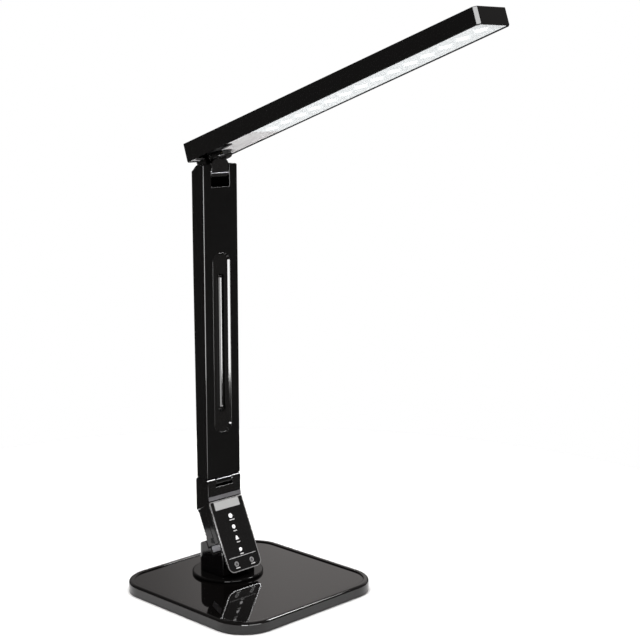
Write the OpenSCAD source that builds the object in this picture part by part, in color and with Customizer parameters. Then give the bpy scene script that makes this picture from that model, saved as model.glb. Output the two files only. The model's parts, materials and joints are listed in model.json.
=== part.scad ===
// Folding LED desk lamp: square foot, swivelling stem with a touch panel, flat arm and a head
// that tilts and turns. Millimetres. +Z is up, the front is -Y, and the origin is the middle of
// the face that the lamp stands on.

/* [Foot] */
// Width of the square foot
base_w = 180; // [156:1:210]
// Radius of the foot's corners
base_corner_r = 33; // [24:1:44]
// Height of the foot's moulded cover
base_h = 10.4; // [9.6:0.1:14]
// Radius of the cover's rounded outer edge
base_edge_r = 2.6; // [1.5:0.1:3.2]
// Width of the raised rim
rim_w = 5.5; // [4.5:0.1:8]
// Depth of the tray inside the rim
tray_d = 1.2; // [0.8:0.1:1.6]
// Wall of the foot's cover
base_wall = 2; // [1.6:0.1:2.6]
// Gap between the cover's skirt and the table
skirt_gap = 0.6; // [0.3:0.1:0.9]
// Thickness of the bottom plate
floor_t = 1.4; // [1:0.1:1.6]
// Thickness of the steel ballast plate
ballast_t = 3; // [2:0.1:3.4]
// Distance of the ballast plate's edges in from the foot's sides
ballast_in = 20; // [19:0.5:30]
// Thickness of the anti-slip pad
pad_t = 1; // [0.7:0.1:1.2]
// Distance of the bottom screws in from the foot's sides
foot_screw_in = 18; // [17:0.1:18.5]

/* [Turntable] */
// Distance of the turning axis behind the foot's middle
swivel_y = 30; // [20:1:36]
// Radius of the turning disc
disc_r = 34; // [30:1:40]
// Thickness of the turning disc
disc_t = 2.6; // [2:0.1:4]
// Radius of the disc's rounded edge
disc_edge_r = 1.6; // [0.6:0.1:1.9]
// Thickness of the glide ring under the disc
glide_t = 0.5; // [0.3:0.1:0.8]
// Outer radius of the hollow spindle
spindle_r = 8; // [6:0.5:10]
// Bore radius of the hollow spindle
spindle_bore_r = 5; // [3:0.5:5.5]

/* [Turret and stem] */
// Width of the turret and stem
stem_w = 41; // [38:0.5:46]
// Distance of the turret's front face ahead of the turning axis
turret_front = 16; // [13:0.5:18]
// Distance of the turret's back face behind the turning axis
turret_back = 21; // [20:0.5:24]
// Height of the turret's hump above the table
turret_top = 42.5; // [41:0.5:44]
// Radius of the turret's back corners, seen from above
turret_corner_r = 8; // [4:0.5:12]
// Radius of the hump's rounded back edge
hump_r = 14; // [8:0.5:15]
// Wall of the hollow turret
turret_wall = 3; // [2:0.5:4]
// Lean of the touch panel from upright
panel_tilt = 24.8; // [22:0.1:27]
// Height of the panel's lower edge
panel_low_z = 18.7; // [17.8:0.1:20.8]
// Distance of the panel's lower edge behind the foot's middle
panel_low_y = 3.2; // [1.8:0.1:3.8]
// Depth of the stem from the panel's face to its ribbed back
stem_depth = 19.7; // [18.5:0.1:20.5]
// Depth at which the rear cover meets the stem's housing
stem_split = 9.4; // [8.8:0.1:11]
// Length of the panel that runs on below the stem's housing
panel_below = 30.5; // [29.6:0.1:32.6]
// Height of the light neck band between the stem and the turret
neck_h = 6.1; // [4:0.1:8]
// Depth of the neck band's back edge from the panel's face
neck_depth = 16; // [14:0.1:17]
// Number of grip ribs on the back
rib_count = 8; // [4:1:9]
// Spacing of the grip ribs
rib_pitch = 3.2; // [2.4:0.1:3.4]
// Depth of the grip ribs
rib_d = 1.8; // [0.6:0.1:2.2]

/* [Touch panel] */
// Length of the panel
panel_len = 69.6; // [62:0.1:80]
// Thickness of the panel slab
panel_t = 3.2; // [2.8:0.1:4.5]
// Radius of the panel's lower corners
panel_corner_r = 6.5; // [4:0.1:9]
// Radius of the panel's upper corners
panel_top_r = 1.6; // [1.3:0.1:4]
// Width of the bright bezel
bezel_w = 0.8; // [0.7:0.1:1.2]
// Depth of the bright bezel
bezel_d = 0.9; // [0.8:0.1:2]
// Width of the display window
display_w = 30.8; // [24:0.1:34]
// Height of the display window
display_h = 8; // [6:0.1:10]
// Width of the control board
board_w = 30; // [24:0.5:34]
// Length of the control board
board_len = 29; // [22:0.5:31]
// Thickness of the control board
board_t = 1.6; // [1:0.1:2]

/* [Arm hinge] */
// Distance of the arm's hinge pin behind the panel's top edge
arm_pin_in = 5.8; // [5.4:0.1:6.2]
// Height of the arm's hinge pin above the panel's top edge
arm_pin_up = 17.7; // [16.1:0.1:20.1]
// Radius of the hinge pins
pin_r = 2; // [1.5:0.1:2.4]
// Distance of the stem's front face ahead of the arm's pin
collar_front = 4.6; // [4.4:0.1:5]
// Distance of the stem's back face behind the arm's pin
collar_back = 12.8; // [12:0.1:13.5]
// Width of the arm's hinge tongue
tongue_w = 19.2; // [16:0.1:22]
// Thickness of each friction washer
washer_t = 0.8; // [0.5:0.1:1]
// Depth of the stem's notch below the pin
notch_below = 4.6; // [4.4:0.1:6]

/* [Arm] */
// Width of the arm
arm_w = 42; // [40:0.5:46]
// Thickness of the arm at its upper end
arm_t = 16.6; // [15.5:0.1:17.5]
// Thickness of the arm at its lower end
arm_t_low = 14.1; // [13.6:0.1:16]
// Distance of the arm's front face ahead of its lower pin
arm_front = 4; // [3.6:0.1:4.1]
// Length of the arm between its lower and upper pins
arm_len = 292.4; // [260:0.1:320]
// Rounding of the arm's long edges
arm_edge_r = 1.2; // [0.6:0.1:2]
// Radius of the arm's upper corners, seen from the front
arm_corner_r = 3; // [1.5:0.1:5]
// Width of the recess in the arm's front
recess_w = 21; // [16:0.5:26]
// Length of the recess
recess_len = 170; // [140:1:190]
// Height of the recess's lower end above the arm's lower pin
recess_from = 48; // [40:1:54]
// Depth of the recess, and width of its sloping wall
recess_d = 1.6; // [1:0.1:2.2]
// Radius of the corners of the recess's floor
recess_r = 6; // [4:0.1:6.5]
// Radius of the half-round channel in the recess
channel_r = 5; // [3:0.1:5.4]
// Height of the channel's middle line above the recess's floor
channel_rise = 0.4; // [0.2:0.1:1]
// Length of the channel
channel_len = 132; // [100:1:136]
// Depth of the arm's wiring pocket from its back face
pocket_d = 5.3; // [4.6:0.1:5.4]
// Thickness of the arm's rear cover
arm_cover_t = 2; // [1.5:0.1:2.4]

/* [Head hinge] */
// Distance of the arm's end above the upper pin
cheek_rise = 8.2; // [7.4:0.1:8.6]
// Depth of the arm's notch below the upper pin
head_notch_below = 12.7; // [9:0.1:16]
// Width of the knuckle's barrel
knuckle_w = 20.4; // [17:0.1:22]
// Radius of the knuckle's barrel
knuckle_r = 4.8; // [4:0.1:4.9]
// Distance of the knuckle's top plane above the upper pin
knuckle_top = 10.3; // [10.1:0.1:11.5]
// Distance of the head's turning axis ahead of the upper pin
swivel_ahead = 9.7; // [8:0.1:11]
// Radius of the round turning boss
boss_r = 11; // [9:0.1:12]
// Height of the turning boss
boss_h = 5.6; // [4:0.1:6]
// Radius of the knuckle's shoulders under the boss, seen from the front
shoulder_r = 5; // [2:0.1:7]
// Rounding of the boss's lower edge
boss_edge_r = 1.8; // [0.5:0.1:2.5]
// Radius of the turning bolt
bolt_r = 4; // [3:0.1:5]
// Reach of the knuckle's neck behind the upper pin
neck_back = 13; // [8:0.1:14]

/* [Head] */
// Upward pitch of the head in the stored pose
head_pitch = 18.9; // [10:0.1:24]
// Distance of the head's underside above the upper pin
head_rise = 14.9; // [14.6:0.1:16]
// Reach of the head ahead of its turning axis
head_front = 332.7; // [300:0.1:360]
// Reach of the head behind its turning axis
head_rear = 26.4; // [24:0.1:30]
// Width of the head
head_w = 40; // [38:0.5:46]
// Thickness of the head at its rear end
head_h_rear = 17.5; // [17:0.1:20]
// Thickness of the head at its front end
head_h_front = 14.3; // [13.6:0.1:16.5]
// Width of the bevel on the head's upright corners
head_bevel = 3.1; // [1.5:0.1:5]
// Wall of the head's shell
head_wall = 2; // [1.5:0.1:2.5]
// Depth at which the underside panels lie above the shell's edge
panel_inset = 0.8; // [0.4:0.1:1]
// Length of the rear cover ahead of the turning axis
rear_cover_front = 65.5; // [58:0.5:80]
// Thickness of the rear cover and the diffuser
cover_t = 1.7; // [1.2:0.1:2]
// Reach of the dark hinge bay behind the turning axis
bay_rear = 21.5; // [18:0.1:22]
// Width of the hinge bay
bay_w = 32; // [28:0.5:33]
// Reach of the wire opening ahead of the turning axis
wire_ahead = 31; // [24:0.5:40]
// Reach of the wire opening behind the turning axis
wire_behind = 12; // [8:0.5:16]
// Width of the wire opening, from a line just outside the rear cover's edge
wire_w = 13; // [10:0.5:14]
// Number of light sources
led_count = 14; // [8:1:18]
// Width of the light board
led_board_w = 12; // [8:0.5:20]

/* [Hidden] */
$fn = 64;
// Flat gap between seated pieces
seat = 0.3;
// Radial clearance of a pin in its bore
pin_fit = 0.05;
// Gap that lets a fixed piece drop into its recess
drop = 0.2;
// Overlap that makes a cut run clear of a face
over = 1;
shank_r = 1.2;
screw_head_r = 2.4;
screw_head_h = 1.4;

// Foot
cover_top = skirt_gap + base_h;
tray_z = cover_top - tray_d;
skin_z = tray_z - base_wall;
foot_inner = base_w - 2 * base_wall;
floor_top = pad_t + floor_t;
pad_w = base_w - base_corner_r;
foot_screw_at = base_w / 2 - foot_screw_in;
ballast_w = base_w - 2 * ballast_in;
ballast_notch_d = 8;
foot_boss_r = 3.6;
inlet_r = 3.5;
inlet_len = 11;
inlet_socket_r = 2.8;
inlet_socket_d = 8;
inlet_pin_r = 0.9;
inlet_z = skirt_gap + 4.6;
ballast_gap_r = spindle_r + 8;

// Turntable
disc_z = tray_z + glide_t;
disc_top = disc_z + disc_t;
glide_in = 3;
glide_w = 8;
glide_r = [disc_r - glide_in - glide_w, disc_r - glide_in];
turret_screw_x = 13;
turret_screw_y = 8.4;
turret_post_r = 3;
turret_screw_len = 9;
nut_r = spindle_r + 4;
nut_h = 1.8;
ring_washer_t = 0.6;

// Panel's top edge and the arm's hinge pin
panel_top_y = panel_low_y + panel_len * sin(panel_tilt);
panel_top_z = panel_low_z + panel_len * cos(panel_tilt);
arm_pin_y = panel_top_y + arm_pin_in;
arm_pin_z = panel_top_z + arm_pin_up;

// Arm
arm_y = arm_pin_y - arm_front;
shoulder_z = arm_pin_z + collar_front + seat;
head_pin_y = arm_pin_y + 1;
head_pin_z = arm_pin_z + arm_len;
arm_top = head_pin_z + cheek_rise;
arm_back = arm_y + arm_t;
arm_slope_h = 7.6;
arm_slope_d = 9;
arm_foot = shoulder_z - over;
arm_taper = atan((arm_t - arm_t_low) / (arm_top - arm_slope_h - arm_foot));
tongue_r = arm_front;
washer_gap = 0.1;
stem_notch_w = tongue_w + 2 * washer_t + 4 * washer_gap;
head_notch_w = knuckle_w + 2 * washer_t + 4 * washer_gap;
pin_len = arm_w - 5;
recess_z = arm_pin_z + recess_from;
recess_mid = recess_z + recess_len / 2;
pocket_z = [shoulder_z + 8, head_pin_z - head_notch_below - 7];
pocket_w = arm_w - 7;
arm_screw_in = 12;
arm_post_r = 3.4;
arm_screw_len = arm_cover_t + 2.6;
notch_back_wall = 2.2;
notch_open_from = head_pin_z - 4;
cable_w = 8;
cable_t = 1.4;

// Stem
stem_len = panel_len - panel_below;
collar_y = arm_pin_y - collar_front;
collar_end = arm_pin_y + collar_back;
collar_top = arm_pin_z + collar_front;
collar_round = 4;
collar_from = panel_top_z - stem_depth;
flare_h = 6;
turret_y = swivel_y + turret_back;
turret_fy = swivel_y - turret_front;
rib_from = 4;
stem_pocket_w = stem_w - 8;
stem_pocket_end = 7;
stem_back_wall = 2;
spigot_w = 31;
spigot_t = 3;
spigot_at = stem_split + drop + spigot_t / 2 + 0.6;
spigot_up = 9;
spigot_down = 6;
stem_screw_len = 8;
stem_screw_up = 4.6;

// Head
head_len = head_front + head_rear;
underside_w = head_w - 2 * head_wall;
diffuser_from = rear_cover_front + drop;
reflector_h = 6;
reflector_t = 1.2;
led_board_t = 1.4;
led_size = [3.6, 3.0, 0.9];
// Distances of the light's inner pieces from the two ends of the diffuser
reflector_ends = [1, 6];
led_board_ends = [3, 9];
led_ends = [9, 15];
lens_r = 1.1;
mount_h = 7.4;
mount_t = 2;
mount_rear = 19;
mount_front = 42;
head_screw_len = 5;
head_screw_x = 11;
head_screw_in = 6;
head_post_r = 2.8;
spring_t = 0.6;
bolt_floor = 1.5;
bolt_nut_r = 6.5;
bolt_nut_h = 2.2;
diffuser_end = head_front - head_wall - drop;
panel_z = panel_inset + cover_t;

// Drawing helpers

// Rectangle with four round corners, centred
module round_rect(size, r) {
    square([size[0] - 2 * r, size[1]], center = true);
    square([size[0], size[1] - 2 * r], center = true);
    for (x = [-1, 1], y = [-1, 1])
        translate([x * (size[0] / 2 - r), y * (size[1] / 2 - r)]) circle(r);
}

// Section swept round a rounded rectangle; the section's x runs outwards from the corner centres
module swept_rim(size, r) {
    core = [size[0] - 2 * r, size[1] - 2 * r];
    for (i = [0:3]) {
        reach = core[i % 2];
        run = core[(i + 1) % 2];
        rotate(90 * i) translate([reach / 2, run / 2, 0]) {
            rotate([90, 0, 0]) linear_extrude(run) children();
            rotate_extrude(angle = 90) children();
        }
    }
}

// Side outline, drawn with y and z, given a width along x
module across(width) {
    rotate([90, 0, 90]) linear_extrude(width, center = true) children();
}

// Round bar along x
module bar_x(r, len) {
    rotate([0, 90, 0]) cylinder(r = r, h = len, center = true);
}

// Flat ring along z
module ring(r_out, r_in, h) {
    difference() {
        cylinder(r = r_out, h = h);
        translate([0, 0, -over]) cylinder(r = r_in, h = h + 2 * over);
    }
}

// Countersunk screw with its head's face at the origin and its shank along -Z
module screw(len) {
    translate([0, 0, -screw_head_h]) cylinder(r1 = shank_r, r2 = screw_head_r, h = screw_head_h);
    translate([0, 0, -len]) cylinder(r = shank_r, h = len - screw_head_h / 2);
}

// Hole for that screw
module screw_hole(len) {
    translate([0, 0, -screw_head_h])
        cylinder(r1 = shank_r + drop, r2 = screw_head_r + drop, h = screw_head_h);
    translate([0, 0, -len - over]) cylinder(r = shank_r + drop, h = len + over);
    cylinder(r = screw_head_r + drop, h = over);
}

// Stem's own frame: origin on the panel's top edge, y into the stem, z up along the panel
module in_stem() {
    translate([0, panel_top_y, panel_top_z]) rotate([-panel_tilt, 0, 0]) children();
}

// The same frame for outlines drawn with y and z
module in_stem_outline() {
    translate([panel_top_y, panel_top_z]) rotate(-panel_tilt) children();
}

// Frame of the tilting knuckle: origin on the upper pin
module in_knuckle() {
    translate([0, head_pin_y, head_pin_z]) rotate([-head_pitch, 0, 0]) children();
}

// Frame of the head: origin where the turning axis meets the head's underside
module in_head() {
    in_knuckle() translate([0, -swivel_ahead, head_rise]) children();
}

// Places of the foot's four screws
module at_foot_screws() {
    for (x = [-1, 1], y = [-1, 1])
        translate([x * foot_screw_at, y * foot_screw_at, 0]) children();
}

// Foot

// Section of the cover from the corner centre out to the edge
module cover_section() {
    rim_edge = 0.9;
    in_edge = base_corner_r - rim_w;
    difference() {
        union() {
            square([base_corner_r - base_edge_r, base_h]);
            square([base_corner_r, base_h - base_edge_r]);
            translate([base_corner_r - base_edge_r, base_h - base_edge_r]) circle(base_edge_r);
        }
        translate([-over, base_h - tray_d]) square([in_edge + over, tray_d + over]);
        difference() {
            translate([in_edge - over, base_h - rim_edge]) square([rim_edge + over, rim_edge + over]);
            translate([in_edge + rim_edge, base_h - rim_edge]) circle(rim_edge);
        }
        translate([-over, -over])
            square([base_corner_r - base_wall + over, base_h - tray_d - base_wall + over]);
    }
}

module inlet_axis() {
    translate([0, base_w / 2, inlet_z]) rotate([-90, 0, 0]) children();
}

module base_cover() {
    core = base_w - 2 * base_corner_r;
    boss_z = floor_top + seat;
    color([0.13, 0.125, 0.125])
    difference() {
        union() {
            translate([0, 0, skirt_gap]) swept_rim([base_w, base_w], base_corner_r) cover_section();
            translate([0, 0, skin_z + base_wall / 2])
                cube([core + over, core + over, base_wall], center = true);
            at_foot_screws() translate([0, 0, boss_z])
                cylinder(r = foot_boss_r, h = skin_z + base_wall / 2 - boss_z);
        }
        at_foot_screws() translate([0, 0, boss_z - over])
            cylinder(r = shank_r + pin_fit, h = skin_z - boss_z + over);
        translate([0, swivel_y, 0]) cylinder(r = spindle_r + pin_fit, h = cover_top);
        inlet_axis() translate([0, 0, -inlet_len]) cylinder(r = inlet_r + drop, h = inlet_len + over);
    }
}

module base_floor() {
    color([0.1, 0.1, 0.1])
    difference() {
        translate([0, 0, pad_t]) linear_extrude(floor_t)
            round_rect([foot_inner - 2 * seat, foot_inner - 2 * seat], base_corner_r - base_wall - seat);
        at_foot_screws() translate([0, 0, pad_t]) mirror([0, 0, 1]) screw_hole(floor_t + over);
        translate([-inlet_r - over, base_w / 2 - inlet_len - over, 0])
            cube([2 * (inlet_r + over), inlet_len + over, floor_top + over]);
    }
}

module ballast_plate() {
    color([0.45, 0.45, 0.47])
    translate([0, 0, floor_top]) difference() {
        linear_extrude(ballast_t) round_rect([ballast_w, ballast_w], base_corner_r / 2);
        translate([0, swivel_y, -over]) cylinder(r = ballast_gap_r, h = ballast_t + 2 * over);
        translate([0, ballast_w / 2, 0])
            cube([4 * inlet_r, 2 * ballast_notch_d, 4 * ballast_t], center = true);
    }
}

module anti_slip_pad() {
    color([0.06, 0.06, 0.06]) linear_extrude(pad_t) round_rect([pad_w, pad_w], base_corner_r * 0.6);
}

module base_screws() {
    color([0.75, 0.75, 0.76])
    at_foot_screws() translate([0, 0, pad_t]) mirror([0, 0, 1]) screw(skin_z - pad_t - drop);
}

module power_inlet() {
    color([0.05, 0.05, 0.05]) inlet_axis() {
        difference() {
            translate([0, 0, -inlet_len]) cylinder(r = inlet_r, h = inlet_len);
            translate([0, 0, -inlet_socket_d]) cylinder(r = inlet_socket_r, h = inlet_socket_d + over);
        }
        translate([0, 0, -inlet_socket_d - over]) cylinder(r = inlet_pin_r, h = inlet_socket_d);
    }
}

module glide_ring() {
    color([0.85, 0.85, 0.82]) translate([0, swivel_y, tray_z]) ring(glide_r[1], glide_r[0], glide_t);
}

// Turntable and turret

// Places of the four screws that hold the turret on the disc
module at_turret_screws() {
    for (x = [-1, 1], y = [-1, 1])
        translate([x * turret_screw_x, swivel_y + y * turret_screw_y, disc_z]) children();
}

module swivel_disc() {
    inner = spindle_r + pin_fit;
    color([0.1, 0.1, 0.1])
    difference() {
        translate([0, swivel_y, disc_z]) rotate_extrude($fn = 96) {
            translate([inner, 0]) square([disc_r - inner, disc_t - disc_edge_r]);
            translate([inner, 0]) square([disc_r - disc_edge_r - inner, disc_t]);
            intersection() {
                translate([disc_r - disc_edge_r, disc_t - disc_edge_r]) circle(disc_edge_r);
                square([disc_r, disc_t]);
            }
        }
        at_turret_screws() mirror([0, 0, 1]) screw_hole(disc_t + over);
    }
}

module swivel_spindle() {
    bottom = skin_z - ring_washer_t - nut_h - washer_gap;
    color([0.7, 0.7, 0.72])
    translate([0, swivel_y, bottom]) ring(spindle_r, spindle_bore_r, disc_top - bottom);
}

module swivel_washer() {
    color([0.8, 0.78, 0.7])
    translate([0, swivel_y, skin_z - ring_washer_t]) ring(nut_r, spindle_r + pin_fit, ring_washer_t);
}

module swivel_nut() {
    color([0.72, 0.72, 0.74])
    translate([0, swivel_y, skin_z - ring_washer_t - nut_h]) difference() {
        cylinder(r = nut_r, h = nut_h, $fn = 6);
        translate([0, 0, -over]) cylinder(r = spindle_r + pin_fit, h = nut_h + 2 * over);
    }
}

// Seen from above: square front, round back corners
module turret_plan(inset) {
    w = stem_w - 2 * inset;
    r = turret_corner_r - inset / 2;
    front = turret_fy + inset;
    back = turret_y - inset;
    translate([-w / 2, front]) square([w, back - front - r]);
    translate([r - w / 2, front]) square([w - 2 * r, back - front]);
    for (x = [-1, 1]) translate([x * (w / 2 - r), back - r]) circle(r);
}

// Seen from the side: a block with a rounded hump, cut away for the panel, the stem and the neck
module turret_side() {
    back = turret_y + 0.7;
    len = back - turret_fy + over;
    height = turret_top - disc_top;
    difference() {
        union() {
            translate([turret_fy - over, disc_top]) square([len - hump_r, height]);
            translate([turret_fy - over, disc_top]) square([len, height - hump_r]);
            translate([back - hump_r, turret_top - hump_r]) circle(hump_r);
        }
        in_stem_outline() {
            translate([-stem_depth, -2 * panel_len]) square([stem_depth + panel_t + seat, 3 * panel_len]);
            translate([0, -stem_len - neck_h - 2 * seat]) square([neck_depth + seat, panel_len]);
            translate([0, -stem_len - seat]) square([stem_depth + seat, panel_len]);
        }
    }
}

module turret_housing() {
    pocket_h = 9;
    color([0.11, 0.105, 0.11])
    difference() {
        intersection() {
            across(stem_w) turret_side();
            linear_extrude(turret_top + over) turret_plan(0);
        }
        difference() {
            translate([0, 0, disc_top - over]) linear_extrude(pocket_h + over) turret_plan(turret_wall);
            at_turret_screws() cylinder(r = turret_post_r, h = turret_top);
        }
        at_turret_screws() cylinder(r = shank_r + pin_fit, h = turret_screw_len + over);
        in_stem() neck_spigots(drop);
    }
}

module turret_screws() {
    color([0.72, 0.72, 0.74]) at_turret_screws() mirror([0, 0, 1]) screw(turret_screw_len);
}

// Tongues that carry the neck into the stem above and the turret below
module neck_spigots(grow) {
    size = [spigot_w + 2 * grow, spigot_t + 2 * grow, neck_h + spigot_up + spigot_down + 2 * grow];
    mid = (spigot_up - spigot_down - neck_h) / 2 - stem_len - seat;
    translate([0, spigot_at, mid]) cube(size, center = true);
}

module stem_neck() {
    color([0.62, 0.62, 0.64]) difference() {
        in_stem() {
            translate([0, (panel_t + seat + neck_depth) / 2, -stem_len - neck_h / 2 - seat])
                cube([stem_w - 2 * drop, neck_depth - panel_t - seat, neck_h], center = true);
            neck_spigots(0);
        }
        at_stem_screws() screw_hole(stem_screw_len);
    }
}

// Stem

module stem_side() {
    difference() {
        union() {
            translate([collar_y, collar_from]) square([collar_end - collar_y, arm_pin_z - collar_from]);
            translate([arm_pin_y, arm_pin_z - over])
                square([collar_back - collar_round, collar_front + over]);
            translate([arm_pin_y, arm_pin_z - over])
                square([collar_back, collar_front + over - collar_round]);
            translate([collar_end - collar_round, collar_top - collar_round]) circle(collar_round);
            translate([arm_pin_y, arm_pin_z]) circle(collar_front);
            polygon([[collar_y, panel_top_z + flare_h], [panel_top_y + 0.2, panel_top_z + 0.4],
                     [collar_y + over, panel_top_z]]);
            in_stem_outline() translate([panel_t + seat, -stem_len])
                square([stem_split - panel_t - seat, stem_len + over]);
        }
        in_stem_outline() {
            translate([-panel_t, -panel_len - seat]) square([2 * panel_t + seat, panel_len + seat + 0.2]);
            translate([stem_split, -panel_len]) square([panel_len, panel_len - rib_from + 2 * over]);
            translate([-panel_t, -2 * panel_len]) square([2 * panel_len, 2 * panel_len - stem_len]);
        }
    }
}

module stem_housing() {
    notch_z = arm_pin_z - notch_below;
    notch_back = arm_pin_y + tongue_r + 0.5;
    color([0.12, 0.12, 0.12])
    difference() {
        across(stem_w) stem_side();
        translate([-stem_notch_w / 2, collar_y - over, notch_z])
            cube([stem_notch_w, notch_back - collar_y + over, collar_top - notch_z + over]);
        translate([0, arm_pin_y, arm_pin_z]) bar_x(pin_r + pin_fit, pin_len + 2 * seat);
        in_stem() translate([0, stem_split / 2, -stem_len / 2])
            cube([board_w + 2 * drop, stem_split * 2, board_len + 2 * drop], center = true);
    }
}

// Saw-tooth back of the rear cover, drawn in the stem's frame
module ribbed_outline() {
    first = -rib_from - seat;
    teeth = [for (i = [0:rib_count - 1]) each [
        [stem_depth, first - i * rib_pitch],
        [stem_depth - rib_d, first - (i + 0.8) * rib_pitch]
    ]];
    top = 2 * over - rib_from - seat;
    front = stem_split + drop;
    polygon(concat([[front, -stem_len], [front, top], [stem_depth, top]], teeth,
                   [[stem_depth, first - rib_count * rib_pitch], [stem_depth, -stem_len]]));
}

module at_stem_screws() {
    in_stem() for (x = [-1, 1])
        translate([x * stem_w / 2, spigot_at, stem_screw_up - stem_len]) rotate([0, 90 * x, 0]) children();
}

module stem_rear_cover() {
    pocket_reach = stem_depth - stem_split - rib_d - stem_back_wall;
    color([0.1, 0.1, 0.1])
    difference() {
        in_stem() across(stem_w) ribbed_outline();
        in_stem() translate([0, stem_split, -stem_len / 2])
            cube([stem_pocket_w, 2 * pocket_reach, stem_len - 2 * stem_pocket_end], center = true);
        in_stem() neck_spigots(drop);
        at_stem_screws() screw_hole(stem_screw_len);
    }
}

module stem_screws() {
    color([0.15, 0.15, 0.15]) at_stem_screws() screw(stem_screw_len);
}

module control_board() {
    color([0.1, 0.35, 0.2]) in_stem()
        translate([0, panel_t + seat + board_t / 2, -stem_len / 2])
            cube([board_w, board_t, board_len], center = true);
}

// Outline of the touch panel, seen square on, with its top edge at zero
module panel_outline(inset) {
    w = stem_w - 2 * inset;
    low_r = panel_corner_r - inset;
    top_r = panel_top_r - inset;
    bottom = inset - panel_len;
    translate([low_r - w / 2, bottom]) square([w - 2 * low_r, panel_len / 2]);
    translate([-w / 2, bottom + low_r]) square([w, panel_len - 2 * inset - low_r - top_r]);
    translate([top_r - w / 2, -inset - panel_len / 2]) square([w - 2 * top_r, panel_len / 2]);
    for (x = [-1, 1]) {
        translate([x * (w / 2 - low_r), bottom + low_r]) circle(low_r);
        translate([x * (w / 2 - top_r), -inset - top_r]) circle(top_r);
    }
}

// Panel layer between two depths
module panel_layer(from, to) {
    in_stem() translate([0, to, 0]) rotate([90, 0, 0]) linear_extrude(to - from) children();
}

module display_place(grow) {
    translate([-display_w / 2 - grow, -bezel_w - display_h - grow - drop])
        square([display_w, display_h] + 2 * [grow, grow]);
}

module panel_tray() {
    color([0.08, 0.08, 0.08]) panel_layer(bezel_d, panel_t) panel_outline(0);
}

module panel_bezel() {
    color([0.82, 0.83, 0.85]) panel_layer(0, bezel_d) difference() {
        panel_outline(0);
        panel_outline(bezel_w);
    }
}

module panel_glass() {
    color([0.1, 0.1, 0.11]) panel_layer(0.15, bezel_d) difference() {
        panel_outline(bezel_w + 0.05);
        display_place(0.05);
    }
}

module display_window() {
    color([0.72, 0.74, 0.74]) panel_layer(0.2, bezel_d) display_place(0);
}

module arm_pin() {
    color([0.75, 0.75, 0.77]) translate([0, arm_pin_y, arm_pin_z]) bar_x(pin_r, pin_len);
}

// Two friction washers beside a hinge barrel
module washer_pair(barrel_w, r) {
    for (x = [-1, 1]) translate([x * (barrel_w / 2 + washer_gap), 0, 0]) rotate([0, 90 * x, 0])
        ring(r, pin_r + pin_fit, washer_t);
}

module arm_friction_washers() {
    color([0.72, 0.72, 0.74]) translate([0, arm_pin_y, arm_pin_z]) washer_pair(tongue_w, tongue_r - 0.4);
}

// Arm

// Frame of the arm's front face: x across, y up, z out of the face
module on_arm_front(z) {
    translate([0, arm_y, z]) rotate([90, 0, 0]) children();
}

// Section of the recess's sloping wall
module slope_section() {
    inner = recess_r - over / 2;
    outer = recess_r + recess_d + over;
    polygon([[inner, over], [inner, -recess_d], [recess_r, -recess_d], [outer, over]]);
}

module front_recess() {
    inner = [recess_w - 2 * recess_d, recess_len - 2 * recess_d];
    on_arm_front(recess_mid) {
        translate([0, 0, -recess_d]) linear_extrude(recess_d + over) round_rect(inner, recess_r);
        swept_rim(inner, recess_r) slope_section();
    }
    translate([0, arm_y + recess_d - channel_rise, recess_mid]) {
        cylinder(r = channel_r, h = channel_len - 2 * channel_r, center = true);
        for (z = [-1, 1]) translate([0, 0, z * (channel_len / 2 - channel_r)]) sphere(channel_r);
    }
}

// Arm seen from the front, with round upper corners
module arm_outline() {
    height = arm_top - shoulder_z;
    translate([-arm_w / 2, shoulder_z - over]) square([arm_w, height + over - arm_corner_r]);
    translate([arm_corner_r - arm_w / 2, shoulder_z]) square([arm_w - 2 * arm_corner_r, height]);
    for (x = [-1, 1])
        translate([x * (arm_w / 2 - arm_corner_r), arm_top - arm_corner_r]) circle(arm_corner_r);
}

// Arm seen from the side: the back leans out to a sloping top
module arm_side() {
    polygon([[arm_y - over, arm_foot], [arm_y + arm_t_low, arm_foot], [arm_back, arm_top - arm_slope_h],
             [arm_back - arm_slope_d, arm_top + over], [arm_y - over, arm_top + over]]);
}

// Frame of the arm's leaning back face, with heights as in the upright arm
module in_arm_back() {
    translate([0, arm_y + arm_t_low, arm_foot]) rotate([-arm_taper, 0, 0])
        translate([0, 0, -arm_foot]) children();
}

module head_notch() {
    floor_z = head_pin_z - head_notch_below;
    depth = arm_t - notch_back_wall;
    translate([-head_notch_w / 2, arm_y - over, floor_z]) cube([head_notch_w, depth + over, arm_top]);
    translate([-head_notch_w / 2, arm_y - over, notch_open_from])
        cube([head_notch_w, arm_t + 2 * over, arm_top]);
}

module at_arm_screws() {
    in_arm_back() for (z = [pocket_z[0] + arm_screw_in, pocket_z[1] - arm_screw_in])
        translate([0, 0, z]) rotate([-90, 0, 0]) children();
}

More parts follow.
